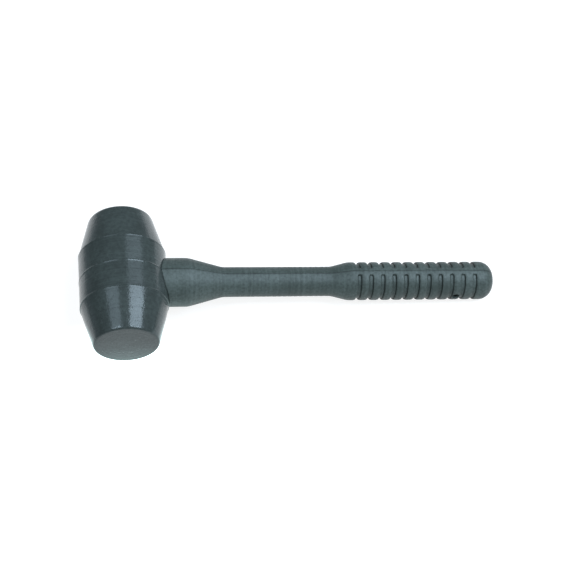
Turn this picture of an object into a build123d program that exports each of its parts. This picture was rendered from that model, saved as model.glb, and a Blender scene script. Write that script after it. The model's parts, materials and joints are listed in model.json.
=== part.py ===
from build123d import *
from math import asin, atan2, cos, hypot, radians, sin
import os

# Rubber mallet: a hard-rubber barrel head on a moulded handle with a steel tube inside.
#
# It lies on its side, as it is put down on a bench: the head's axis runs along Y, the handle
# points to +X, and the belly of the head and the heel of the grip both touch z = 0. The origin
# is the centre of the foot of its box. Distances "along the handle" are measured from the head's
# axis. All sizes are in millimetres.

# Head: a belt between two cones, closed by two flat striking faces.
head_length = 110.2
face_radius = 25.2  # where the cone would meet the face without its rounding
face_rounding = 2.6
cone_radius = 33.6  # where the cone meets the belt
belt_radius = 33.9
belt_width = 45.4
flash_radius = 34.2  # the mould's parting line stands proud round the middle of the belt
flash_width = 0.8

# Handle: radii and the places along it where one stretch gives way to the next.
collar_radius = 19.0
neck_start_radius = 11.7
neck_end_radius = 11.6
grip_radius = 15.1
collar_end = 49.7
neck_start = 76.7
neck_end = 162.7
grip_start = 176.4
handle_end = 294.6
shoulder_bend = 20.0  # radius that blends one stretch into the next
butt_rounding = 10.8
collar_root = 24.0  # the collar starts inside the barrel, which then cuts its saddle
spigot_radius = 13.0
spigot_start = 22.0

# Finger grooves round the grip. Each stops short of a smooth land along the mould's parting line.
groove_count = 11
first_groove = 183.7
groove_pitch = 9.36
groove_radius = 1.85
groove_centre_radius = 15.2
land_angle = 17.0  # from the middle of the land to the middle of a groove's round end

# Hang hole, between the ninth and the tenth groove.
hang_hole_radius = 2.75
hang_hole_place = first_groove + 8.5 * groove_pitch

# Steel tube and what keeps it in the head and in the handle.
tube_radius = 7.0
tube_wall = 1.5
tube_start = -20.0
tube_end = 246.0
plug_flange = 1.5
plug_length = 10.0
washer_radius = 15.0
washer_thickness = 2.0
washer_offset = 13.0  # from the head's axis to the middle of a washer
pin_radius = 2.0
pin_chamfer = 0.4
head_pin_length = 36.0
handle_pin_length = 18.0
handle_pin_place = 228.0

# How the mallet lies: the grip's heel and the belly of the head share one flat surface.
heel_reach = handle_end - butt_rounding
heel_radius = grip_radius - butt_rounding
droop = asin((flash_radius - butt_rounding) / hypot(heel_reach, heel_radius)) - atan2(heel_radius, heel_reach)
tip_reach = heel_reach * cos(droop) + heel_radius * sin(droop) + butt_rounding
head_x = (flash_radius - tip_reach) / 2

# The mallet's own plane: x along the handle, y along the head's axis, z out of its upper side.
mallet = Plane(
    origin=(head_x, 0, flash_radius),
    x_dir=(cos(droop), 0, -sin(droop)),
    z_dir=(sin(droop), 0, cos(droop)),
)
head_axis = Axis(mallet.origin, mallet.y_dir)
handle_axis = Axis(mallet.origin, mallet.x_dir)


def across(place):
    """The plane square to the handle at a place along it, looking towards the butt."""
    return Plane(origin=mallet.from_local_coords((place, 0, 0)), x_dir=mallet.y_dir, z_dir=mallet.x_dir)


def crosswise(place, length):
    """The plane square to the head's axis where a pin of this length through the handle starts."""
    return Plane(origin=mallet.from_local_coords((place, -length / 2, 0)), x_dir=mallet.x_dir, z_dir=mallet.y_dir)


def turned(angle):
    """The plane through the handle's axis whose y points this many degrees from straight up."""
    outward = mallet.z_dir * cos(radians(angle)) + mallet.y_dir * sin(radians(angle))
    return Plane(origin=mallet.origin, x_dir=mallet.x_dir, z_dir=mallet.x_dir.cross(outward))


# Outer form of the head, as a tool for the head itself and for the saddle of the collar.
half_length = head_length / 2
half_belt = belt_width / 2
half_flash = flash_width / 2
with BuildPart() as barrel:
    with BuildSketch(mallet) as barrel_profile:
        with BuildLine():
            Polyline(
                (0, -half_length),
                (face_radius, -half_length),
                (cone_radius, -half_belt),
                (belt_radius, -half_belt),
                (belt_radius, -half_flash),
                (flash_radius, 0),
                (belt_radius, half_flash),
                (belt_radius, half_belt),
                (cone_radius, half_belt),
                (face_radius, half_length),
                (0, half_length),
                close=True,
            )
        make_face()
        rims = barrel_profile.vertices().filter_by(lambda corner: abs(corner.X - face_radius) < 0.01)
        fillet(rims, face_rounding)
    revolve(axis=head_axis)

# Core of the handle: a steel tube from the head to the grip, drilled for its two cross pins.
with BuildPart() as head_cross_pin:
    with BuildSketch(crosswise(0, head_pin_length)):
        Circle(pin_radius)
    extrude(amount=head_pin_length)
    chamfer(head_cross_pin.faces().filter_by(Axis.Y).edges(), pin_chamfer)
head_cross_pin.part.label = "head_cross_pin"

with BuildPart() as handle_cross_pin:
    with BuildSketch(crosswise(handle_pin_place, handle_pin_length)):
        Circle(pin_radius)
    extrude(amount=handle_pin_length)
    chamfer(handle_cross_pin.faces().filter_by(Axis.Y).edges(), pin_chamfer)
handle_cross_pin.part.label = "handle_cross_pin"

with BuildPart() as core_tube:
    with BuildSketch(across(tube_start)):
        Circle(tube_radius)
        Circle(tube_radius - tube_wall, mode=Mode.SUBTRACT)
    extrude(amount=tube_end - tube_start)
    add(head_cross_pin.part, mode=Mode.SUBTRACT)
    add(handle_cross_pin.part, mode=Mode.SUBTRACT)
core_tube.part.label = "core_tube"

# Flanged plugs that keep the moulding material out of the tube's two ends.
with BuildPart() as tip_plug:
    with BuildSketch(across(tube_start - plug_flange)):
        Circle(tube_radius)
    extrude(amount=plug_flange)
    with BuildSketch(across(tube_start)):
        Circle(tube_radius - tube_wall)
    extrude(amount=plug_length)
tip_plug.part.label = "tip_plug"

with BuildPart() as butt_plug:
    with BuildSketch(across(tube_end)):
        Circle(tube_radius)
    extrude(amount=plug_flange)
    with BuildSketch(across(tube_end - plug_length)):
        Circle(tube_radius - tube_wall)
    extrude(amount=plug_length)
butt_plug.part.label = "butt_plug"

# Two steel washers pressed on the tube, one each side of the head's axis, keyed in the rubber.
washers = []
for name, side in (("tip_washer", -1), ("collar_washer", 1)):
    with BuildPart() as washer:
        with BuildSketch(across(side * washer_offset - washer_thickness / 2)):
            Circle(washer_radius)
            Circle(tube_radius, mode=Mode.SUBTRACT)
        extrude(amount=washer_thickness)
    washer.part.label = name
    washers.append(washer.part)

# Head: rubber moulded round the tube, its washers and its pin, with a socket for the spigot.
with BuildPart() as rubber_head:
    add(barrel.part)
    with BuildSketch(across(tube_start - plug_flange)):
        Circle(tube_radius)
    extrude(amount=collar_root - tube_start, mode=Mode.SUBTRACT)
    for washer_part in washers:
        add(washer_part, mode=Mode.SUBTRACT)
    add(head_cross_pin.part, mode=Mode.SUBTRACT)
    with BuildSketch(across(spigot_start)):
        Circle(spigot_radius)
    extrude(amount=flash_radius, mode=Mode.SUBTRACT)
rubber_head.part.label = "rubber_head"

# Handle: collar, neck and grip in one moulding, with a spigot that goes into the head.
groove_places = [first_groove + groove_pitch * number for number in range(groove_count)]
groove_centres = [(place, groove_centre_radius) for place in groove_places]
groove_sweep = 180 - 2 * land_angle
with BuildPart() as grooves:
    for start_angle in (land_angle, 180 + land_angle):
        with BuildSketch(turned(start_angle)):
            with Locations(groove_centres):
                Circle(groove_radius)
        revolve(axis=handle_axis, revolution_arc=-groove_sweep)
        for end_angle in (start_angle, start_angle + groove_sweep):
            with Locations([turned(end_angle).from_local_coords((*centre, 0)) for centre in groove_centres]):
                Sphere(groove_radius)

with BuildPart() as handle_moulding:
    with BuildSketch(mallet):
        with BuildLine():
            FilletPolyline(
                (collar_root, collar_radius),
                (collar_end, collar_radius),
                (neck_start, neck_start_radius),
                (neck_end, neck_end_radius),
                (grip_start, grip_radius),
                (handle_end, grip_radius),
                (handle_end, 0),
                radius=[shoulder_bend] * 4 + [butt_rounding],
            )
            Polyline((handle_end, 0), (collar_root, 0), (collar_root, collar_radius))
        make_face()
    revolve(axis=handle_axis)
    add(barrel.part, mode=Mode.SUBTRACT)
    with BuildSketch(across(spigot_start)):
        Circle(spigot_radius)
    extrude(amount=flash_radius - spigot_start)
    with BuildSketch(across(spigot_start)):
        Circle(tube_radius)
    extrude(amount=tube_end + plug_flange - spigot_start, mode=Mode.SUBTRACT)
    add(handle_cross_pin.part, mode=Mode.SUBTRACT)
    add(grooves.part, mode=Mode.SUBTRACT)
    with BuildSketch(crosswise(hang_hole_place, 3 * grip_radius)):
        Circle(hang_hole_radius)
    extrude(amount=3 * grip_radius, mode=Mode.SUBTRACT)
handle_moulding.part.label = "handle_moulding"

os.makedirs("parts", exist_ok=True)
pieces = [
    rubber_head.part,
    handle_moulding.part,
    core_tube.part,
    tip_plug.part,
    butt_plug.part,
    head_cross_pin.part,
    handle_cross_pin.part,
    *washers,
]
for piece in pieces:
    export_step(piece, f"parts/{piece.label}.step")
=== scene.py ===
import json
import logging
import math
from dataclasses import dataclass, field
from enum import Enum
from typing import Any, Dict, List, Optional, Sequence, Tuple, Union

import bpy
from mathutils import Matrix, Vector

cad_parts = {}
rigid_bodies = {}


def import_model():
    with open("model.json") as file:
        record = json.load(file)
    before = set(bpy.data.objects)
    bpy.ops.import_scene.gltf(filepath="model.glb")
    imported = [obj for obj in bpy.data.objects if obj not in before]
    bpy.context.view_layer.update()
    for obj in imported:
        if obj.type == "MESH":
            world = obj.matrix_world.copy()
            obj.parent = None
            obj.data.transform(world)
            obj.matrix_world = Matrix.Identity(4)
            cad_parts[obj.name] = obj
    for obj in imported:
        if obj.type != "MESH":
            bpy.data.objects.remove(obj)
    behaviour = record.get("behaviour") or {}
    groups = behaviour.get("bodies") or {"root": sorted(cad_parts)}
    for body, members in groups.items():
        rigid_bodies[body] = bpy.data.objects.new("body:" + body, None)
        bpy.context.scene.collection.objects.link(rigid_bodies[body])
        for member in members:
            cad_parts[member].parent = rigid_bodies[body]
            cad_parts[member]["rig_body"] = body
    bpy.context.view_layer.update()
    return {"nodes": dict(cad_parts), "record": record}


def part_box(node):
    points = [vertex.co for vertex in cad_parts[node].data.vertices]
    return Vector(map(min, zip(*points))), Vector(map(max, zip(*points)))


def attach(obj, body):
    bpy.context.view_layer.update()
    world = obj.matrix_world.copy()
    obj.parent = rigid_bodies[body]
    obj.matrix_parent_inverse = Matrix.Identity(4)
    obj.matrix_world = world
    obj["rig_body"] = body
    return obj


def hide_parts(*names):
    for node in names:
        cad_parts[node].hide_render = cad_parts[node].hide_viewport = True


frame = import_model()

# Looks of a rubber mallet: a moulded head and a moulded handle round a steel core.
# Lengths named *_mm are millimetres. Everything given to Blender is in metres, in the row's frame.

MM = 0.001
LOG = logging.getLogger("mallet")
SADDLE_SINK_MM = 0.1  # the collar's end sits just under the belt's skin
FOCUS_FROM_HEAD_MM = (125.01, -1.21, -9.19)  # what the camera faces, from the head's centre
ARC_STEP_DEG = 5.0  # longest piece of a bend
ARC_PARTS_MIN = 3
NOISE_CORE = (0.4, 0.6)  # most of a noise's values lie between these
NOISE_SPAN = (0.3, 0.7)  # and nearly all of them between these

Tree = bpy.types.NodeTree
Node = bpy.types.Node
Socket = bpy.types.NodeSocket
Object = bpy.types.Object
Material = bpy.types.Material
Point = Tuple[float, float]
Links = Union[Dict[Union[int, str], Any], Tuple[Any, ...]]

MATH = "ShaderNodeMath"
VECTOR = "ShaderNodeVectorMath"
RANGE = "ShaderNodeMapRange"
NOISE = "ShaderNodeTexNoise"


class Slot(Enum):
    """The record's material slots for the head's and the handle's rubber."""

    HEAD = "head_rubber"
    HANDLE = "handle_rubber"


# ---- Small helpers ----


def linear(hex_colour: str) -> Tuple[float, float, float, float]:
    """Turn an sRGB hex colour into the linear colour that a shader takes.

    Args:
        hex_colour: six hex digits, with or without a leading #.

    Returns:
        Red, green, blue and an alpha of 1, all linear.
    """
    digits = hex_colour.lstrip("#")
    channels = []  # the numbers below are the sRGB curve's own
    for start in (0, 2, 4):
        value = int(digits[start:start + 2], 16) / 255
        channels.append(value / 12.92 if value <= 0.04045 else ((value + 0.055) / 1.055) ** 2.4)
    return (channels[0], channels[1], channels[2], 1.0)


def add_node(tree: Tree, kind: str, links: Optional[Links] = None, **settings: Any) -> Node:
    """Add a node to a tree with its settings and what goes into it.

    Args:
        tree: shader or geometry node tree.
        kind: the node's type name.
        links: what goes in, by input name or number, or as a tuple in the inputs' own order: a node
            (its first output), a socket or a plain value.
        settings: properties of the node itself.

    Returns:
        The new node.
    """
    node = tree.nodes.new(kind)
    for name, value in settings.items():
        setattr(node, name, value)
    for key, value in links.items() if isinstance(links, dict) else enumerate(links or ()):
        source = value.outputs[0] if isinstance(value, Node) else value
        if isinstance(source, Socket):
            tree.links.new(source, node.inputs[key])
        else:
            node.inputs[key].default_value = source
    return node


def new_material(name: str) -> Tuple[Material, Tree, Node]:
    """Start a material.

    Args:
        name: what the real material is.

    Returns:
        The material, its tree, and its Principled BSDF.
    """
    material = bpy.data.materials.new(name)
    material.use_nodes = True
    return material, material.node_tree, material.node_tree.nodes["Principled BSDF"]


def emboss(tree: Tree, shader: Node, patterns: Sequence[Tuple[Node, float]]) -> None:
    """Raise patterns on a surface.

    Args:
        tree: the material's tree.
        shader: the Principled BSDF that takes the relief.
        patterns: each pattern with its depth in millimetres.
    """
    height = None
    for pattern, depth_mm in patterns:
        scaled = add_node(tree, MATH, (pattern, depth_mm * MM), operation="MULTIPLY")
        height = scaled if height is None else add_node(tree, MATH, (height, scaled))
    bump = add_node(tree, "ShaderNodeBump", {"Height": height, "Distance": 1.0, "Strength": 1.0})
    tree.links.new(bump.outputs[0], shader.inputs["Normal"])


def rounded(corners: Sequence[Tuple[float, float, float]], step: float) -> List[Point]:
    """Round the corners of a path of straight runs.

    Args:
        corners: along, radius and bend radius of each corner; the two ends have no bend.
        step: longest stretch between two points of a straight run.

    Returns:
        The points of the path, with its runs divided and its bends as arcs.
    """
    path: List[Point] = [corners[0][:2]]

    def run_to(end: Vector) -> None:
        """Divide a straight run from the path's last point.

        Args:
            end: where the run ends.
        """
        start = Vector(path[-1])
        count = max(1, math.ceil((end - start).length / step))
        for number in range(1, count + 1):
            path.append(tuple(start.lerp(end, number / count)))

    for before, here, after in zip(corners, corners[1:], corners[2:]):
        corner = Vector(here[:2])
        back = (Vector(before[:2]) - corner).normalized()
        ahead = (Vector(after[:2]) - corner).normalized()
        turn = math.pi - back.angle(ahead)
        reach = here[2] * math.tan(turn / 2)
        run_to(corner + back * reach)
        if here[2]:
            centre = corner + (back + ahead).normalized() * (here[2] / math.cos(turn / 2))
            arm = Vector(path[-1]) - centre
            way = math.copysign(1.0, back.cross(ahead))
            parts = max(ARC_PARTS_MIN, math.ceil(math.degrees(turn) / ARC_STEP_DEG))
            for number in range(1, parts + 1):
                angle = -way * turn * number / parts
                path.append(tuple(centre + Matrix.Rotation(angle, 2) @ arm))
    run_to(Vector(corners[-1][:2]))
    return path


# ---- Where the mallet lies ----


@dataclass(frozen=True)
class MalletAxes:
    """The mallet's own axes in the row's frame: along the handle, across it, and up out of it."""

    centre: Vector
    along: Vector
    across: Vector
    up: Vector

    @classmethod
    def from_record(cls, record: Dict[str, Any]) -> "MalletAxes":
        """Work the axes out from the record's mounts.

        Args:
            record: holds the two striking faces and the hang hole.

        Returns:
            The axes.
        """
        places = {mount["name"]: Vector(mount["pos_m"]) for mount in record["mounts"]}
        front, rear = places["front_face"], places["rear_face"]
        centre = (front + rear) / 2
        along = (places["hang_hole"] - centre).normalized()
        across = (rear - front).normalized()
        return cls(centre, along, across, along.cross(across))

    def handle_matrix(self) -> Matrix:
        """Matrix from a skin turned about its own X to the handle, with its Z up."""
        return self._matrix(self.along, self.across)

    def head_matrix(self) -> Matrix:
        """Matrix from a skin turned about its own X to the head, with its Z up."""
        return self._matrix(self.across, -self.along)

    def _matrix(self, first: Vector, second: Vector) -> Matrix:
        """Matrix that carries X, Y and Z to two of the mallet's axes and up, about the head's centre."""
        turn = Matrix((first, second, self.up)).transposed().to_4x4()
        return Matrix.Translation(self.centre) @ turn


# ---- Finishes ----


@dataclass(frozen=True)
class MouldedRubber:
    """Hard black rubber, moulded in steel: the mould's finish shows as grain, lines and small pits."""

    name: str
    colour: str
    bloom: str
    bloom_share: float
    roughness: float
    roughness_spread: float
    grain_mm: float
    grain_depth_mm: float
    line_mm: float
    line_depth_mm: float
    pit_mm: float
    pit_depth_mm: float
    line_bloom: float = 0.25
    # painted shade: how strongly the skin's marked places are darkened towards black, with their gloss
    # dimmed
    painted_shade: float = 0.0
    patch_mm: float = 22.0
    mottle_ratio: float = 1.3  # of the grain
    bloom_from: float = 0.15
    bloom_to: float = 0.35
    rub_ratio: float = 0.35  # of a patch
    pit_spacing: float = 4.0  # in pits
    pit_reach: Point = (0.03, 0.16)
    ior: float = 1.42
    sheen_tint: str = "#e8fbff"

    def material(self) -> Material:
        """Build the material.

        Returns:
            A node material that reads Object coordinates, and the skin's own UV map for tool lines and
            painted shade.
        """
        material, tree, shader = new_material(self.name)
        shader.inputs["IOR"].default_value = self.ior
        shader.inputs["Specular Tint"].default_value = linear(self.sheen_tint)
        place = add_node(tree, "ShaderNodeTexCoord").outputs["Object"]
        self._colour(tree, place, shader)
        self._gloss(tree, place, shader)
        self._relief(tree, place, shader)
        return material

    def _colour(self, tree: Tree, place: Socket, shader: Node) -> None:
        """Colour black rubber: a pale bloom in patches, mottle and lines, and painted shade where the
        skin's map marks it, as on grooves' walls.

        Args:
            tree: the material's tree.
            place: Object coordinates.
            shader: the Principled BSDF that takes the colour.
        """
        lines, corner = self._lines(tree)
        patches = add_node(tree, NOISE, {"Vector": place, "Scale": 1 / (self.patch_mm * MM),
            "Detail": 3.0})
        mottle = add_node(tree, NOISE,
            {"Vector": place, "Scale": 1 / (self.grain_mm * self.mottle_ratio * MM), "Detail": 2.0})
        both = add_node(tree, MATH, (patches, mottle), operation="MULTIPLY")
        streaked = add_node(tree, MATH, (lines, self.line_bloom, both), operation="MULTIPLY_ADD")
        share = add_node(tree, RANGE, (streaked, self.bloom_from + self.line_bloom * NOISE_CORE[0],
            self.bloom_to + self.line_bloom * NOISE_CORE[1], 0.0, self.bloom_share))
        bloomed = add_node(tree, "ShaderNodeMix", {"Factor": share, 6: linear(self.colour),
            7: linear(self.bloom)}, data_type="RGBA")
        # painted shade: the mask darkens the colour towards black and dims the gloss where it is full
        shade = add_node(tree, MATH, (corner, self.painted_shade), operation="MULTIPLY")
        shaded = add_node(tree, "ShaderNodeMix", {"Factor": shade, 6: bloomed.outputs[2],
            7: linear("#000000")}, data_type="RGBA")
        level = add_node(tree, MATH, (shade, -0.5, 0.5), operation="MULTIPLY_ADD")
        tree.links.new(shaded.outputs[2], shader.inputs["Base Color"])
        tree.links.new(level.outputs[0], shader.inputs["Specular IOR Level"])

    def _lines(self, tree: Tree) -> Tuple[Node, Socket]:
        """Read the skin's own UV map.

        Args:
            tree: the material's tree.

        Returns:
            The turning lines as a noise along the outline, and how far a point is into a groove's corner.
        """
        flow = add_node(tree, "ShaderNodeSeparateXYZ", (add_node(tree, "ShaderNodeUVMap",
            uv_map="skin"),))
        lines = add_node(tree, NOISE, {"W": flow.outputs["X"], "Scale": 1 / (self.line_mm * MM),
            "Detail": 2.0}, noise_dimensions="1D")
        return lines, flow.outputs["Y"]

    def _gloss(self, tree: Tree, place: Socket, shader: Node) -> None:
        """Dull the gloss in places, as handling does.

        Args:
            tree: the material's tree.
            place: Object coordinates.
            shader: the Principled BSDF that takes the roughness.
        """
        rubbed = add_node(tree, NOISE,
            {"Vector": place, "Scale": 1 / (self.patch_mm * self.rub_ratio * MM), "Detail": 4.0})
        spread = add_node(tree, RANGE, (rubbed, NOISE_SPAN[0], NOISE_SPAN[1],
            self.roughness - self.roughness_spread, self.roughness + self.roughness_spread))
        tree.links.new(spread.outputs[0], shader.inputs["Roughness"])

    def _relief(self, tree: Tree, place: Socket, shader: Node) -> None:
        """Give the mould's own surface: a grain all over, its cutter's turning lines, and small pits.

        Args:
            tree: the material's tree.
            place: Object coordinates.
            shader: the Principled BSDF that takes the relief.
        """
        grain = add_node(tree, NOISE, {"Vector": place, "Scale": 1 / (self.grain_mm * MM),
            "Detail": 3.0, "Roughness": 0.6})
        lines, _ = self._lines(tree)
        cells = add_node(tree, "ShaderNodeTexVoronoi", {"Vector": place,
            "Scale": 1 / (self.pit_mm * self.pit_spacing * MM), "Randomness": 1.0})
        pits = add_node(tree, RANGE, (cells.outputs["Distance"], self.pit_reach[0], self.pit_reach[1],
            -1.0, 0.0), interpolation_type="SMOOTHSTEP")
        reliefs = ((grain, self.grain_depth_mm), (lines, self.line_depth_mm), (pits, self.pit_depth_mm))
        emboss(tree, shader, reliefs)


# To the eye drawn mild steel is a bright grey, its highlights stretched across fine draw lines.
@dataclass(frozen=True)
class DrawnSteel:
    """Mild steel drawn through a die: fine lines run the way it was drawn."""

    name: str = "drawn_mild_steel"
    bright: str = "#b9bbbd"
    dull: str = "#8f9294"
    roughness: float = 0.36
    roughness_spread: float = 0.08
    line_mm: float = 0.25
    line_length_mm: float = 14.0
    line_depth_mm: float = 0.008

    def material(self, direction: Vector) -> Material:
        """Build the material.

        Args:
            direction: the way the steel was drawn, in the row's frame.

        Returns:
            A node material that reads Object coordinates.
        """
        material, tree, shader = new_material(self.name)
        shader.inputs["Metallic"].default_value = 1.0
        turn = direction.to_track_quat("X", "Z").inverted().to_euler()
        turned = add_node(tree, "ShaderNodeMapping", {"Vector": add_node(tree,
            "ShaderNodeTexCoord").outputs["Object"], "Rotation": turn})
        squeezed = add_node(tree, "ShaderNodeMapping", {"Vector": turned,
            "Scale": (self.line_mm / self.line_length_mm, 1.0, 1.0)})
        lines = add_node(tree, NOISE, {"Vector": squeezed, "Scale": 1 / (self.line_mm * MM),
            "Detail": 3.0})
        mix = add_node(tree, "ShaderNodeMix", {"Factor": lines, 6: linear(self.dull),
            7: linear(self.bright)}, data_type="RGBA")
        rough = add_node(tree, RANGE, (lines, 0.0, 1.0, self.roughness - self.roughness_spread,
            self.roughness + self.roughness_spread))
        tree.links.new(mix.outputs[2], shader.inputs["Base Color"])
        tree.links.new(rough.outputs[0], shader.inputs["Roughness"])
        emboss(tree, shader, ((lines, self.line_depth_mm),))
        return material


# To the eye moulded polyethylene with no dye is a waxy off-white with soft highlights.
@dataclass(frozen=True)
class NaturalPolyethylene:
    """Undyed polyethylene: waxy and slightly cloudy, with its mould's faint skin."""

    name: str = "natural_polyethylene"
    colour: str = "#e2dfd2"
    cloud: str = "#d3cfbf"
    roughness: float = 0.45
    ior: float = 1.51
    cloud_mm: float = 2.5
    skin_mm: float = 0.5
    skin_depth_mm: float = 0.01

    def material(self) -> Material:
        """Build the material.

        Returns:
            A node material that reads Object coordinates.
        """
        material, tree, shader = new_material(self.name)
        shader.inputs["IOR"].default_value = self.ior
        shader.inputs["Roughness"].default_value = self.roughness
        place = add_node(tree, "ShaderNodeTexCoord").outputs["Object"]
        clouds = add_node(tree, NOISE, {"Vector": place, "Scale": 1 / (self.cloud_mm * MM)})
        mix = add_node(tree, "ShaderNodeMix", {"Factor": clouds, 6: linear(self.colour),
            7: linear(self.cloud)}, data_type="RGBA")
        skin = add_node(tree, NOISE, {"Vector": place, "Scale": 1 / (self.skin_mm * MM)})
        tree.links.new(mix.outputs[2], shader.inputs["Base Color"])
        emboss(tree, shader, ((skin, self.skin_depth_mm),))
        return material


# To the eye cast opal acrylic, lit from below, is an even white with no grain and hardly a shadow.
@dataclass(frozen=True)
class LightTable:
    """A white acrylic light table: lit from below, so that shadows on it are faint."""

    name: str = "light_table_acrylic"
    colour: str = "#8b8e8e"
    shade: str = "#868989"
    patch_mm: float = 180.0
    roughness: float = 0.9
    glow: float = 0.86
    half_width_m: float = 0.263
    half_depth_m: float = 0.285
    edge_m: float = 0.06
    spot_glow: float = 2.7
    spot_reach_m: float = 0.033
    spot_squeeze: float = 0.3
    spot_colour: str = "#dcffff"

    def material(self, middle: Vector, spot: Vector) -> Material:
        """Build the material.

        Args:
            middle: the middle of the lit panel, in the row's frame.
            spot: where one lamp under it is closest, in the row's frame.

        Returns:
            A node material that reads Object coordinates.
        """
        material, tree, shader = new_material(self.name)
        shader.inputs["Roughness"].default_value = self.roughness
        shader.inputs["Emission Strength"].default_value = 1.0
        place = add_node(tree, "ShaderNodeTexCoord").outputs["Object"]
        patches = add_node(tree, NOISE, {"Vector": place, "Scale": 1 / (self.patch_mm * MM)})
        mix = add_node(tree, "ShaderNodeMix", {"Factor": patches, 6: linear(self.colour),
            7: linear(self.shade)}, data_type="RGBA")
        tree.links.new(mix.outputs[2], shader.inputs["Base Color"])
        offset = add_node(tree, VECTOR, (place, middle), operation="SUBTRACT")
        mirrored = add_node(tree, VECTOR, (offset,), operation="ABSOLUTE")
        half = (self.half_width_m, self.half_depth_m, 0.0)
        past = add_node(tree, VECTOR, (mirrored, half), operation="SUBTRACT")
        beyond = add_node(tree, VECTOR, (past, (0.0, 0.0, 0.0)), operation="MAXIMUM")
        level = add_node(tree, VECTOR, (beyond, (1.0, 1.0, 0.0)), operation="MULTIPLY")
        outside = add_node(tree, VECTOR, (level,), operation="LENGTH").outputs["Value"]
        aside = add_node(tree, VECTOR, (place, spot), operation="SUBTRACT")
        squeeze = (self.spot_squeeze, 1.0, 1.0)
        squeezed = add_node(tree, VECTOR, (aside, squeeze), operation="MULTIPLY")
        away = add_node(tree, VECTOR, (squeezed,), operation="LENGTH").outputs["Value"]
        glow = None
        for value, reach, strength, colour in (
            (outside, self.edge_m, self.glow, "#ffffff"),
            (away, self.spot_reach_m, self.spot_glow, self.spot_colour),
        ):
            fall = add_node(tree, RANGE, (value, 0.0, reach, strength, 0.0),
                interpolation_type="SMOOTHSTEP")
            lamp = add_node(tree, VECTOR, {0: linear(colour)[:3], "Scale": fall}, operation="SCALE")
            glow = lamp if glow is None else add_node(tree, VECTOR, (glow, lamp))
        tree.links.new(glow.outputs[0], shader.inputs["Emission Color"])
        return material


# ---- Skins turned about an axis ----


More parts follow.
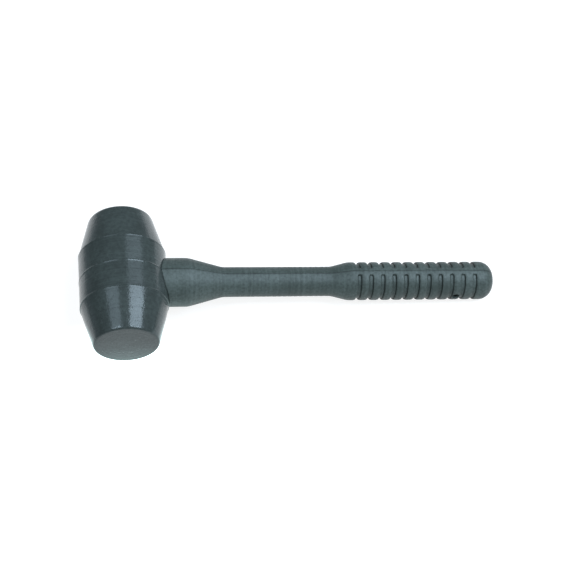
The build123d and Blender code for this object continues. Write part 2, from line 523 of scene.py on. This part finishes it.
@dataclass
class TurnedSkin:
    """A closed skin turned from an outline by geometry nodes, about its own X with its Z up.

    A grid has one row of points for each point of the outline and is wrapped round the axis. A rule
    then moves the points: a child class adds its own by overriding radius_rule and along_rule.
    """

    name: str
    outline_mm: List[Point]
    columns: int
    crowding: float = 0.0  # 0 for even columns, towards 1 to crowd them to the top and the bottom
    waver_mm: float = 0.05  # how far rubber strays from true as it cools out of the mould
    waver_length_mm: float = 9.0
    weld_mm: float = 0.004
    crease_deg: float = 42.0  # a sharper fold than this shows as an edge
    inputs: Dict[str, float] = field(default_factory=dict)

    def build(self, matrix: Matrix, material: Material) -> Object:
        """Make the skin as a plain mesh object at the origin.

        Args:
            matrix: carries the skin to its place in the row's frame.
            material: what the skin is dressed in.

        Returns:
            The finished object, with no modifier left on it.
        """
        mesh = bpy.data.meshes.new(self.name)
        points = [(along * MM, radius * MM, 0.0) for along, radius in self.outline_mm]
        mesh.from_pydata(points, [(n, n + 1) for n in range(len(points) - 1)], [])
        obj = bpy.data.objects.new(self.name, mesh)
        bpy.context.scene.collection.objects.link(obj)
        tree = bpy.data.node_groups.new(self.name + "_skin", "GeometryNodeTree")
        self._grow(tree, material)
        modifier = obj.modifiers.new("skin", "NODES")
        modifier.node_group = tree
        for item in tree.interface.items_tree:
            if item.name in self.inputs:
                modifier[item.identifier] = self.inputs[item.name]
        graph = bpy.context.evaluated_depsgraph_get()
        obj.data = bpy.data.meshes.new_from_object(obj.evaluated_get(graph))
        obj.modifiers.clear()
        obj.data.transform(matrix)
        obj.data.set_sharp_from_angle(angle=math.radians(self.crease_deg))
        bpy.data.meshes.remove(mesh)
        return obj

    def _grow(self, tree: Tree, material: Material) -> None:
        """Build the whole tree: rows and columns, the rules, the weld, and the dressing.

        Args:
            tree: the empty tree.
            material: what the skin is dressed in.
        """
        tree.interface.new_socket("Outline", in_out="INPUT", socket_type="NodeSocketGeometry")
        tree.interface.new_socket("Skin", in_out="OUTPUT", socket_type="NodeSocketGeometry")
        for name in self.inputs:
            tree.interface.new_socket(name, in_out="INPUT", socket_type="NodeSocketFloat")
        given = add_node(tree, "NodeGroupInput")
        outline = given.outputs["Outline"]
        rows = add_node(tree, "GeometryNodeAttributeDomainSize", (outline,), component="MESH")
        grid = add_node(tree, "GeometryNodeMeshGrid", {"Vertices X": rows,
            "Vertices Y": self.columns + 1})
        index = add_node(tree, "GeometryNodeInputIndex")
        row = add_node(tree, "FunctionNodeIntegerMath", (index, self.columns + 1),
            operation="DIVIDE_FLOOR")
        column = add_node(tree, "FunctionNodeIntegerMath", (index, self.columns + 1),
            operation="MODULO")
        sample = add_node(tree, "GeometryNodeSampleIndex", {0: outline, 2: row},
            data_type="FLOAT_VECTOR", domain="POINT")
        tree.links.new(add_node(tree, "GeometryNodeInputPosition").outputs[0], sample.inputs[1])
        spot = add_node(tree, "ShaderNodeSeparateXYZ", (sample,))
        even = add_node(tree, MATH, (column, math.tau / self.columns), operation="MULTIPLY")
        twice = add_node(tree, MATH, (even, 2.0), operation="MULTIPLY")
        crowd = add_node(tree, MATH, (add_node(tree, MATH, (twice,), operation="SINE"),
            -self.crowding / 2, even), operation="MULTIPLY_ADD")
        rule = _Rule(tree, given, spot.outputs["X"], spot.outputs["Y"], crowd)
        radius = self.radius_rule(rule)
        along = self.along_rule(rule, radius)
        away = add_node(tree, MATH, (radius, rule.sine), operation="MULTIPLY")
        high = add_node(tree, MATH, (radius, rule.cosine), operation="MULTIPLY")
        place = add_node(tree, "ShaderNodeCombineXYZ", {"X": along, "Y": away, "Z": high})
        wrapped = add_node(tree, "GeometryNodeSetPosition", {"Geometry": grid,
            "Position": self._waver(tree, place)})
        # the skin's map: X runs along the outline for tool lines, Y holds where shade is painted
        flow = add_node(tree, "GeometryNodeFieldOnDomain", (add_node(tree, "ShaderNodeCombineXYZ",
            {"X": self._flow(rule), "Y": self.painted_shade_rule(rule)}),), data_type="FLOAT_VECTOR",
            domain="POINT")
        mapped = add_node(tree, "GeometryNodeStoreNamedAttribute",
            {"Geometry": wrapped, "Name": "skin", "Value": flow}, data_type="FLOAT2", domain="CORNER")
        welded = add_node(tree, "GeometryNodeMergeByDistance", {"Geometry": mapped,
            "Distance": self.weld_mm * MM})
        finished = self.finish_rule(tree, welded)
        smooth = add_node(tree, "GeometryNodeSetShadeSmooth", {"Geometry": finished})
        real = add_node(tree, "GeometryNodeRealizeInstances", {"Geometry": smooth})
        dressed = add_node(tree, "GeometryNodeSetMaterial", {"Geometry": real, "Material": material})
        add_node(tree, "NodeGroupOutput", (dressed,))

    def _flow(self, rule: "_Rule") -> Node:
        """A length that grows along the outline: along a side, and inwards over an end."""
        return add_node(rule.tree, MATH, (rule.along, rule.radius), operation="SUBTRACT")

    def _waver(self, tree: Tree, place: Node) -> Node:
        """Stray a little from true, by a smooth noise with no seam.

        Args:
            tree: the skin's tree.
            place: a point's true place.

        Returns:
            The node that holds the point's new place.
        """
        noise = add_node(tree, NOISE, {"Vector": place, "Scale": 1 / (self.waver_length_mm * MM),
            "Detail": 1.0})
        centred = add_node(tree, VECTOR, (noise.outputs["Color"], (0.5,) * 3), operation="SUBTRACT")
        scaled = add_node(tree, VECTOR, {0: centred, "Scale": 2 * self.waver_mm * MM},
            operation="SCALE")
        return add_node(tree, VECTOR, (place, scaled), operation="ADD")

    def radius_rule(self, rule: "_Rule") -> Any:
        """The radius of a point: the outline's own."""
        return rule.radius

    def along_rule(self, rule: "_Rule", radius: Any) -> Any:
        """The place of a point along the axis: the outline's own."""
        return rule.along

    def painted_shade_rule(self, rule: "_Rule") -> Any:
        """Where shade is painted on the skin, from 0 to 1: nowhere here."""
        return 0.0

    def finish_rule(self, tree: Tree, skin: Node) -> Node:
        """What is done to the welded skin: nothing here."""
        return skin


@dataclass
class _Rule:
    """What a rule may read: a point's place along the axis, its radius and its angle from the top."""

    tree: Tree
    given: Node
    along: Socket
    radius: Socket
    angle: Node
    sine: Any = None
    cosine: Any = None
    arc: Any = None
    cut: Any = None

    def __post_init__(self) -> None:
        """Work out the angle's sine and cosine once."""
        self.sine = add_node(self.tree, MATH, (self.angle,), operation="SINE")
        self.cosine = add_node(self.tree, MATH, (self.angle,), operation="COSINE")

    def size(self, name: str) -> Socket:
        """One of the tree's named sizes."""
        return self.given.outputs[name]


# ---- The head ----


@dataclass
class BarrelHead:
    """The rubber head: a belt between two cones, closed by two flat striking faces."""

    axes: MalletAxes
    half_length_mm: float
    flash_radius_mm: float
    face_radius_mm: float = 24.7
    face_rounding_mm: float = 1.8
    rim_start_mm: float = 53.0
    rim_start_radius_mm: float = 25.75
    rim_bend_mm: float = 9.0
    cone_radius_mm: float = 33.6
    belt_radius_mm: float = 33.9
    belt_half_mm: float = 22.7
    lip_radius_mm: float = 34.05
    lip_width_mm: float = 0.5
    flash_half_mm: float = 0.92
    edge_bend_mm: float = 0.1
    lip_bend_mm: float = 0.12
    step_mm: float = 1.1
    columns: int = 256
    # Hard rubber out of a polished steel mould: to the eye a near-black grey with a green cast, and
    # long highlights that fine turning lines and a few pits break up. The grain, lines and pits are
    # drawn coarser than the mould's own, so that they show.
    finish: MouldedRubber = MouldedRubber(name="moulded_hard_rubber", colour="#323938", bloom="#434d4b",
        bloom_share=0.55, roughness=0.16, roughness_spread=0.05, grain_mm=2.2, grain_depth_mm=0.13,
        line_mm=1.5, line_depth_mm=0.12, pit_mm=1.3, pit_depth_mm=0.06)

    def outline_mm(self) -> List[Point]:
        """Draw the head's outline.

        Returns:
            Its points, from one striking face to the other.
        """
        half: List[Tuple[float, float, float]] = [
            (-self.half_length_mm, 0.0, 0.0),
            (-self.half_length_mm, self.face_radius_mm, self.face_rounding_mm),
            (-self.rim_start_mm, self.rim_start_radius_mm, self.rim_bend_mm),
            (-self.belt_half_mm, self.cone_radius_mm, self.edge_bend_mm),
            (-self.belt_half_mm, self.lip_radius_mm, self.lip_bend_mm),
            (-self.belt_half_mm + self.lip_width_mm, self.belt_radius_mm, self.edge_bend_mm),
            (-self.flash_half_mm, self.belt_radius_mm, self.edge_bend_mm),
        ]
        middle = [(0.0, self.flash_radius_mm, self.edge_bend_mm)]
        other = [(-along, radius, bend) for along, radius, bend in reversed(half)]
        return rounded(half + middle + other, self.step_mm)

    def build(self) -> List[Object]:
        """Make the head.

        Returns:
            The head's one piece.
        """
        skin = TurnedSkin("head_barrel", self.outline_mm(), columns=self.columns)
        barrel = skin.build(self.axes.head_matrix(), self.finish.material())
        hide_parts("rubber_head")
        return [barrel]


# ---- The handle ----


@dataclass
class HandleSkin(TurnedSkin):
    """The handle's skin: its rule adds grooves, ribs, a parting line and the saddle on the head."""

    hole_cutter: Optional[Object] = None
    end_fade_mm: Point = (2.0, 9.0)  # radii between which a cut or a ridge grows to its full size
    rib_sharpness: float = 2.5
    wall_sharpness: float = 3.0
    # how dark the painted shade along the parting line is, against the full shade of a groove's wall
    painted_parting_shade: float = 0.55

    def radius_rule(self, rule: "_Rule") -> Any:
        """Work out a point's radius: the outline's, less what is cut, plus what stands proud.

        Args:
            rule: what is known of the point.

        Returns:
            The node that holds the radius.
        """
        tree, radius = rule.tree, rule.radius
        fold = add_node(tree, MATH, (rule.angle, math.pi / 2), operation="PINGPONG")
        arc = add_node(tree, MATH, (fold, radius), operation="MULTIPLY")
        rule.arc = arc
        rule.cut = self._grooves(rule, arc)
        for dip in (rule.cut, self._ribs(rule), self._joint(rule)):
            radius = add_node(tree, MATH, (radius, dip), operation="SUBTRACT")
        ridge = add_node(tree, RANGE, (arc, 0.0, rule.size("Parting width"),
            rule.size("Parting height"), 0.0), interpolation_type="SMOOTHSTEP")
        proud = add_node(tree, MATH, (ridge, self._roof(rule, fold)), operation="ADD")
        fade = add_node(tree, RANGE, (rule.along, rule.size("Roof fade"), rule.size("Roof end"), 1.0,
            0.0))
        kept = add_node(tree, MATH, (proud, fade), operation="MULTIPLY")
        return add_node(tree, MATH, (self._off_ends(rule, kept), radius), operation="ADD")

    def _roof(self, rule: "_Rule", fold: Any) -> Node:
        """Let the two mould halves meet at a blunt ridge, lower on the grip.

        Args:
            rule: what is known of the point.
            fold: its angle from the nearer parting line.

        Returns:
            The node that holds how far the ridge stands proud.
        """
        tree = rule.tree
        left = add_node(tree, MATH, (rule.size("Roof half"), fold), operation="SUBTRACT")
        inside = add_node(tree, MATH, (left, 0.0), operation="MAXIMUM")
        slope = add_node(tree, RANGE, (rule.along, rule.size("Neck end"), rule.size("Grip start"),
            rule.size("Roof slope"), rule.size("Grip roof slope")))
        rise = add_node(tree, MATH, (inside, slope), operation="MULTIPLY")
        return add_node(tree, MATH, (rise, rule.radius), operation="MULTIPLY")

    def _off_ends(self, rule: "_Rule", amount: Any) -> Node:
        """Let an amount fade away where the outline closes in on the axis.

        Args:
            rule: what is known of the point.
            amount: a length to fade.

        Returns:
            The node that holds the faded length.
        """
        share = add_node(rule.tree, RANGE, (rule.radius, self.end_fade_mm[0] * MM,
            self.end_fade_mm[1] * MM), interpolation_type="SMOOTHSTEP")
        return add_node(rule.tree, MATH, (amount, share), operation="MULTIPLY")

    def _grooves(self, rule: "_Rule", arc: Any) -> Node:
        """Cut finger grooves at an even pitch, each with round ends short of the land.

        Args:
            rule: what is known of the point.
            arc: its distance round the grip from the nearer parting line.

        Returns:
            The node that holds the depth of the cut.
        """
        tree, pitch = rule.tree, rule.size("Groove pitch")
        past = add_node(tree, MATH, (rule.along, rule.size("Groove first")), operation="SUBTRACT")
        steps = add_node(tree, MATH, (past, pitch), operation="DIVIDE")
        whole = add_node(tree, MATH, (steps,), operation="ROUND")
        nearest = add_node(tree, "ShaderNodeClamp", {"Value": whole, "Max": rule.size("Groove last")})
        part = add_node(tree, MATH, (steps, nearest), operation="SUBTRACT")
        aside = add_node(tree, MATH, (part, pitch), operation="MULTIPLY")
        left = add_node(tree, MATH, (rule.size("Land half"), arc), operation="SUBTRACT")
        short = add_node(tree, MATH, (left, 0.0), operation="MAXIMUM")
        offset = add_node(tree, "ShaderNodeCombineXYZ", {"X": aside, "Y": short})
        distance = add_node(tree, VECTOR, (offset,), operation="LENGTH").outputs["Value"]
        wall = add_node(tree, RANGE, (distance, rule.size("Groove floor"), rule.size("Groove brink"),
            rule.size("Groove depth"), 0.0), interpolation_type="SMOOTHSTEP")
        shoulder = add_node(tree, RANGE, (distance, rule.size("Groove floor"),
            rule.size("Shoulder reach"), rule.size("Shoulder drop"), 0.0),
            interpolation_type="SMOOTHSTEP")
        return add_node(tree, MATH, (wall, shoulder), operation="ADD")

    def _ribs(self, rule: "_Rule") -> Node:
        """Nick the neck with fine ribs that fade out towards the head.

        Args:
            rule: what is known of the point.

        Returns:
            The node that holds the depth of the nicks.
        """
        tree = rule.tree
        past = add_node(tree, MATH, (rule.along, rule.size("Rib start")), operation="SUBTRACT")
        turns = add_node(tree, MATH, (past, rule.size("Rib pitch")), operation="DIVIDE")
        phase = add_node(tree, MATH, (turns, math.tau), operation="MULTIPLY")
        wave = add_node(tree, MATH, (phase,), operation="COSINE")
        dip = add_node(tree, MATH, (wave, -0.5, 0.5), operation="MULTIPLY_ADD")
        nick = add_node(tree, MATH, (dip, self.rib_sharpness), operation="POWER")
        growth = add_node(tree, RANGE, (rule.along, rule.size("Rib start"), rule.size("Rib full"), 0.0,
            rule.size("Rib depth")))
        stop = add_node(tree, RANGE, (rule.along, rule.size("Rib fade"), rule.size("Rib end"), 1.0,
            0.0))
        grown = add_node(tree, MATH, (nick, growth), operation="MULTIPLY")
        return add_node(tree, MATH, (grown, stop), operation="MULTIPLY")

    def _joint(self, rule: "_Rule") -> Node:
        """Chamfer the collar a little where it meets the head, so that the joint shows as a dark line.

        Args:
            rule: what is known of the point.

        Returns:
            The node that holds the depth of the chamfer.
        """
        tree = rule.tree
        away = add_node(tree, MATH, (rule.along, rule.size("Root")), operation="SUBTRACT")
        dip = add_node(tree, RANGE, (away, 0.0, rule.size("Joint width"), rule.size("Joint depth"),
            0.0), interpolation_type="SMOOTHSTEP")
        return self._off_ends(rule, dip)

    def along_rule(self, rule: "_Rule", radius: Any) -> Any:
        """Shape the collar's end as a saddle on the barrel, and ease back to straight rings.

        Args:
            rule: what is known of the point.
            radius: its radius after the radius rule.

        Returns:
            The node that holds the point's place along the axis.
        """
        tree, barrel = rule.tree, rule.size("Barrel radius")
        high = add_node(tree, MATH, (radius, rule.cosine), operation="MULTIPLY")
        square = add_node(tree, MATH, (high, high), operation="MULTIPLY")
        full = add_node(tree, MATH, (barrel, barrel), operation="MULTIPLY")
        left = add_node(tree, MATH, (full, square), operation="SUBTRACT")
        saddle = add_node(tree, MATH, (left,), operation="SQRT")
        lead = add_node(tree, MATH, (saddle, rule.size("Root")), operation="SUBTRACT")
        ease = add_node(tree, RANGE, (rule.along, rule.size("Root"), rule.size("Saddle end"), 1.0, 0.0))
        return add_node(tree, MATH, (lead, ease, rule.along), operation="MULTIPLY_ADD")

    def painted_shade_rule(self, rule: "_Rule") -> Any:
        """Mark where shade is painted: on the grooves' walls, most half way down their depth, and more
        faintly along the parting line.

        Args:
            rule: what is known of the point, the grooves' cut included.

        Returns:
            The node that is 1 on a wall, and 0 on the grip and on a groove's floor.
        """
        tree = rule.tree
        full = add_node(tree, MATH, (rule.size("Groove depth"), rule.size("Shoulder drop")))
        share = add_node(tree, MATH, (rule.cut, full), operation="DIVIDE")
        left = add_node(tree, MATH, (1.0, share), operation="SUBTRACT")
        both = add_node(tree, MATH, (share, left), operation="MULTIPLY")
        peak = 4.0  # brings the product of a share and what is left, at most a quarter, to 1
        hump = add_node(tree, MATH, (both, peak), operation="MULTIPLY")
        wall = add_node(tree, MATH, (hump, self.wall_sharpness), operation="POWER")
        # painted shade along the parting line, fading over its width
        line = add_node(tree, RANGE, (rule.arc, 0.0, rule.size("Parting shadow"), self.painted_parting_shade,
            0.0))
        return add_node(tree, MATH, (wall, line), operation="MAXIMUM")

    def finish_rule(self, tree: Tree, skin: Node) -> Node:
        """Drill the hang hole.

        Args:
            tree: the skin's tree.
            skin: the node that holds the welded skin.

        Returns:
            The node that holds the drilled skin.
        """
        cutter = add_node(tree, "GeometryNodeObjectInfo", {"Object": self.hole_cutter})
        return add_node(tree, "GeometryNodeMeshBoolean", {"Mesh 1": skin,
            "Mesh 2": cutter.outputs["Geometry"]}, operation="DIFFERENCE", solver="EXACT")


@dataclass
class MouldedHandle:
    """The handle moulding: a collar on the head, a ribbed neck, and a grooved grip with a hang hole."""

    axes: MalletAxes
    barrel_radius_mm: float
    hole_place_mm: float
    hole_radius_mm: float
    grip_radius_mm: float = 15.1
    collar_radius_mm: float = 19.0
    collar_end_mm: float = 49.7
    neck_start_mm: float = 76.7
    neck_start_radius_mm: float = 11.7
    neck_end_mm: float = 162.7
    neck_end_radius_mm: float = 11.6
    grip_start_mm: float = 176.4
    end_mm: float = 294.6
    bend_mm: float = 20.0
    butt_rounding_mm: float = 10.8
    root_mm: float = 28.0
    saddle_end_mm: float = 44.0
    skin_sizes: Tuple[str, ...] = (
        "Groove first", "Groove pitch", "Groove floor", "Groove brink", "Groove depth", "Shoulder reach",
        "Shoulder drop", "Land half", "Rib start", "Rib full", "Rib fade", "Rib end", "Rib pitch",
        "Rib depth", "Parting width", "Parting height", "Parting shadow", "Neck end", "Grip start",
        "Roof fade", "Roof end", "Root", "Saddle end", "Barrel radius", "Joint width", "Joint depth",
    )  # the skin's inputs, each named for a field
    groove_count: int = 11
    groove_first_mm: float = 183.7
    groove_pitch_mm: float = 9.36
    groove_floor_mm: float = 1.0
    groove_brink_mm: float = 1.75
    groove_depth_mm: float = 1.35
    shoulder_reach_mm: float = 3.2
    shoulder_drop_mm: float = 0.45
    land_half_mm: float = 4.48
    rib_start_mm: float = 80.0
    rib_full_mm: float = 125.0
    rib_fade_mm: float = 160.0
    rib_end_mm: float = 164.0
    rib_pitch_mm: float = 4.2
    rib_depth_mm: float = 0.12
    parting_width_mm: float = 0.5
    parting_height_mm: float = 0.2
    parting_shadow_mm: float = 0.9
    roof_slope: float = 0.12
    grip_roof_slope: float = 0.02
    roof_half_deg: float = 20.0
    roof_fade_mm: float = 255.0
    roof_end_mm: float = 280.0
    joint_width_mm: float = 0.9
    joint_depth_mm: float = 0.5
    row_mm: float = 0.75
    joint_rows_mm: Tuple[float, ...] = (0.15, 0.3, 0.45, 0.6)
    groove_rows_mm: Tuple[float, ...] = (
        0.0, 0.55, 0.98, 1.12, 1.24, 1.36, 1.48, 1.62, 1.77, 2.0, 2.4, 3.0, 3.8
    )
    columns: int = 144
    crowding: float = 0.5
    flare_mm: float = 0.5
    flare_depth_mm: float = 0.6
    flare_proud_mm: float = 0.2
    drill_past_mm: float = 2.0
    drill_columns: int = 48
    # The same rubber out of a grained mould: to the eye a shade paler and nearly matt, with a broad soft
    # sheen, and painted shade, with less gloss, on its grooves' walls and along its parting line. The
    # grain is drawn coarser, so that it shows.
    finish: MouldedRubber = MouldedRubber(name="moulded_grained_rubber", colour="#39423f",
        bloom="#4f5a57", bloom_share=0.8, roughness=0.47, roughness_spread=0.05, grain_mm=1.5,
        grain_depth_mm=0.12, line_mm=2.4, line_depth_mm=0.008, pit_mm=0.8, pit_depth_mm=0.02,
        painted_shade=0.8, ior=1.34)

    def outline_mm(self) -> List[Point]:
        """Draw the handle's outline.

        Returns:
            Its points, from the middle of its saddle to the middle of its butt.
        """
        path = rounded(
            [
                (self.root_mm, 0.0, 0.0),
                (self.root_mm, self.collar_radius_mm, 0.0),
                (self.collar_end_mm, self.collar_radius_mm, self.bend_mm),
                (self.neck_start_mm, self.neck_start_radius_mm, self.bend_mm),
                (self.neck_end_mm, self.neck_end_radius_mm, self.bend_mm),
                (self.grip_start_mm, self.grip_radius_mm, self.bend_mm),
                (self.end_mm, self.grip_radius_mm, self.butt_rounding_mm),
                (self.end_mm, 0.0, 0.0),
            ],
            step=self.row_mm,
        )
        first = self.groove_first_mm - self.groove_pitch_mm / 2
        last = first + self.groove_count * self.groove_pitch_mm
        root = [(self.root_mm + away, self.collar_radius_mm) for away in self.joint_rows_mm]
        before = [point for point in path if point[0] < first]
        after = [point for point in path if point[0] > last]
        return sorted(before + root) + self._groove_rows() + after

    def _groove_rows(self) -> List[Point]:
        """Set rows close where a groove's wall is steep, and wide on its floor and between grooves.

        Returns:
            The grip's points, from the first groove to the last.
        """
        offsets = sorted({side * offset for offset in self.groove_rows_mm for side in (-1, 1)})
        offsets.append(self.groove_pitch_mm / 2)
        first, pitch = self.groove_first_mm, self.groove_pitch_mm
        centres = [first + number * pitch for number in range(self.groove_count)]
        return [(centre + offset, self.grip_radius_mm) for centre in centres for offset in offsets]

    def build(self) -> List[Object]:
        """Make the handle.

        Returns:
            The handle's one piece.
        """
        cutter = self._hole_cutter()
        keys = {size: size.lower().replace(" ", "_") + "_mm" for size in self.skin_sizes}
        inputs = {size: getattr(self, key) * MM for size, key in keys.items()}
        inputs["Groove last"] = float(self.groove_count - 1)
        inputs["Roof half"] = math.radians(self.roof_half_deg)
        inputs["Roof slope"] = self.roof_slope
        inputs["Grip roof slope"] = self.grip_roof_slope
        skin = HandleSkin(
            "handle_skin",
            self.outline_mm(),
            columns=self.columns,
            crowding=self.crowding,
            inputs=inputs,
            hole_cutter=cutter,
        )
        handle = skin.build(self.axes.handle_matrix(), self.finish.material())
        bpy.data.objects.remove(cutter)
        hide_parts("handle_moulding")
        return [handle]

    def _hole_cutter(self) -> Object:
        """Make a drill for the hang hole, with a flare that rounds the hole's two mouths.

        Returns:
            The drill.
        """
        reach = self.grip_radius_mm
        flare = self.hole_radius_mm + self.flare_mm
        half = [
            (reach - self.flare_depth_mm, self.hole_radius_mm),
            (reach + self.flare_proud_mm, flare),
            (reach + self.drill_past_mm, flare + 2 * self.flare_mm),
            (reach + self.drill_past_mm, 0.0),
        ]
        profile = [(-along, radius) for along, radius in reversed(half)] + half
        drill = TurnedSkin("hang_hole_drill", profile, columns=self.drill_columns, waver_mm=0.0)
        turn = Matrix.Rotation(math.pi / 2, 4, "Z")
        place = Matrix.Translation((self.hole_place_mm * MM, 0.0, 0.0))
        return drill.build(place @ turn, self.finish.material())


# ---- The core ----


@dataclass
class SteelCore:
    """What the rubber hides: the steel tube, its washers and pins, and its two plugs."""

    axes: MalletAxes
    drawn_along: Tuple[str, ...] = ("core_tube",)
    drawn_across: Tuple[str, ...] = (
        "head_cross_pin", "handle_cross_pin", "tip_washer", "collar_washer"
    )
    plugs: Tuple[str, ...] = ("tip_plug", "butt_plug")

    def build(self) -> List[Object]:
        """Dress the CAD nodes, whose shapes are right as they are.

        Returns:
            The dressed nodes.
        """
        along = DrawnSteel().material(self.axes.along)
        across = DrawnSteel(name="drawn_steel_pin_stock").material(self.axes.across)
        plastic = NaturalPolyethylene().material()
        dressed = []
        groups = ((self.drawn_along, along), (self.drawn_across, across), (self.plugs, plastic))
        for names, material in groups:
            for name in names:
                node = frame["nodes"][name]
                node.data.materials.clear()
                node.data.materials.append(material)
                dressed.append(node)
        return dressed


# ---- The studio ----


@dataclass(frozen=True)
class Softbox:
    """A soft light: its place is a direction and a distance from the head, and it faces the head."""

    name: str
    lean_deg: float  # from straight overhead, towards +X
    back_deg: float  # towards +Y
    lean_span_deg: float
    back_span_deg: float
    radiance: float
    distance_m: float = 2.2
    colour: str = "#eaf1ff"

    def build(self, target: Vector) -> Object:
        """Hang the light.

        Args:
            target: the point that the light faces.

        Returns:
            The light.
        """
        lean, back = math.radians(self.lean_deg), math.radians(self.back_deg)
        out = Vector((math.sin(lean), math.tan(back), math.cos(lean))).normalized()
        side = Vector((0.0, 1.0, 0.0)).cross(out).normalized()
        light = bpy.data.lights.new(self.name, "AREA")
        light.shape = "RECTANGLE"
        light.size = 2 * self.distance_m * math.tan(math.radians(self.lean_span_deg) / 2)
        light.size_y = 2 * self.distance_m * math.tan(math.radians(self.back_span_deg) / 2)
        light.color = linear(self.colour)[:3]
        light.energy = self.radiance * math.pi * light.size * light.size_y
        obj = bpy.data.objects.new(self.name, light)
        obj.location = target + out * self.distance_m
        obj.rotation_euler = Matrix((side, out.cross(side), out)).transposed().to_euler()
        bpy.context.scene.collection.objects.link(obj)
        return obj


@dataclass(frozen=True)
class Studio:
    """A plain pale floor, a bank of soft lights on each side over it, an even fill, and the camera."""

    target: Vector
    focus: Vector
    softboxes: Tuple[Softbox, ...] = (
        Softbox("right_softbox", 31.5, 0.0, 37.0, 20.0, 8.5),
        Softbox("right_softbox_rear", 31.5, 25.0, 34.0, 30.0, 1.8),
        Softbox("right_lamp", 31.5, -17.0, 35.4, 9.0, 15.0),
        Softbox("left_softbox", -29.0, 0.0, 32.0, 20.0, 2.6),
        Softbox("left_lamp", -29.0, -17.0, 30.6, 9.0, 12.0),
    )
    fill: float = 0.18
    fill_colour: str = "#dcf0f0"
    floor_half_m: float = 4.0
    floor_drop_mm: float = 0.1
    panel_ahead_m: float = 0.166
    panel_back_m: float = 0.042
    spot_ahead_m: float = 0.045
    camera_heading_deg: float = 13.24
    camera_elevation_deg: float = 57.826
    camera_distance_m: float = 1.1758
    camera_roll_deg: float = 8.818
    lens_mm: float = 95.13
    sensor_mm: float = 36.0

    def build(self) -> None:
        """Set the floor, the lights and the camera."""
        self._floor()
        for softbox in self.softboxes:
            softbox.build(self.target)
        self._fill()
        self._camera()
        bpy.context.scene.view_settings.view_transform = "Standard"

    def _floor(self) -> None:
        """A white table top under everything."""
        half = self.floor_half_m
        drop = -self.floor_drop_mm * MM
        mesh = bpy.data.meshes.new("studio_floor")
        corners = [(x * half, y * half, drop) for x, y in ((-1, -1), (1, -1), (1, 1), (-1, 1))]
        mesh.from_pydata(corners, [], [(0, 1, 2, 3)])
        middle = Vector((self.target.x + self.panel_ahead_m, self.target.y + self.panel_back_m, 0.0))
        spot = Vector((self.target.x, self.target.y - self.spot_ahead_m, 0.0))
        mesh.materials.append(LightTable().material(middle, spot))
        floor = bpy.data.objects.new("studio_floor", mesh)
        bpy.context.scene.collection.objects.link(floor)

    def _fill(self) -> None:
        """An even light from all round."""
        world = bpy.data.worlds.new("studio_fill")
        world.use_nodes = True
        background = world.node_tree.nodes["Background"]
        background.inputs["Color"].default_value = linear(self.fill_colour)
        background.inputs["Strength"].default_value = self.fill
        bpy.context.scene.world = world

    def _camera(self) -> None:
        """A long lens over the mallet, with no shift and no depth of field."""
        heading = math.radians(self.camera_heading_deg)
        elevation = math.radians(self.camera_elevation_deg)
        away = Vector(
            (
                -math.sin(heading) * math.cos(elevation),
                -math.cos(heading) * math.cos(elevation),
                math.sin(elevation),
            )
        )
        data = bpy.data.cameras.new("camera")
        data.lens = self.lens_mm
        data.sensor_width = self.sensor_mm
        camera = bpy.data.objects.new("camera", data)
        roll = Matrix.Rotation(math.radians(self.camera_roll_deg), 4, "Z")
        turn = away.to_track_quat("Z", "Y").to_matrix().to_4x4() @ roll
        camera.matrix_world = Matrix.Translation(self.focus + away * self.camera_distance_m) @ turn
        bpy.context.scene.collection.objects.link(camera)
        bpy.context.scene.camera = camera


# ---- Everything in order ----


def main() -> None:
    """Build the head, the handle and the core, then the studio round them."""
    logging.basicConfig(level=logging.INFO, format="%(name)s: %(message)s")
    record = frame["record"]
    axes = MalletAxes.from_record(record)
    mounts = {mount["name"]: mount for mount in record["mounts"]}
    hole = mounts["hang_hole"]
    half_length_mm = (Vector(mounts["rear_face"]["pos_m"]) - axes.centre).length / MM
    low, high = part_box("rubber_head")
    head = BarrelHead(axes, half_length_mm=half_length_mm, flash_radius_mm=(high.z - low.z) / 2 / MM)
    handle = MouldedHandle(
        axes,
        barrel_radius_mm=head.belt_radius_mm - SADDLE_SINK_MM,
        hole_place_mm=(Vector(hole["pos_m"]) - axes.centre).length / MM,
        hole_radius_mm=hole["dims"]["r_mm"],
    )
    for maker in (head, handle, SteelCore(axes)):
        for piece in maker.build():
            if "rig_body" not in piece:
                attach(piece, "root")
            LOG.info("%s: %s with %d faces", type(maker).__name__, piece.name, len(piece.data.polygons))
    Studio(target=axes.centre, focus=axes.centre + Vector(FOCUS_FROM_HEAD_MM) * MM).build()


if __name__ == "__main__":
    main()
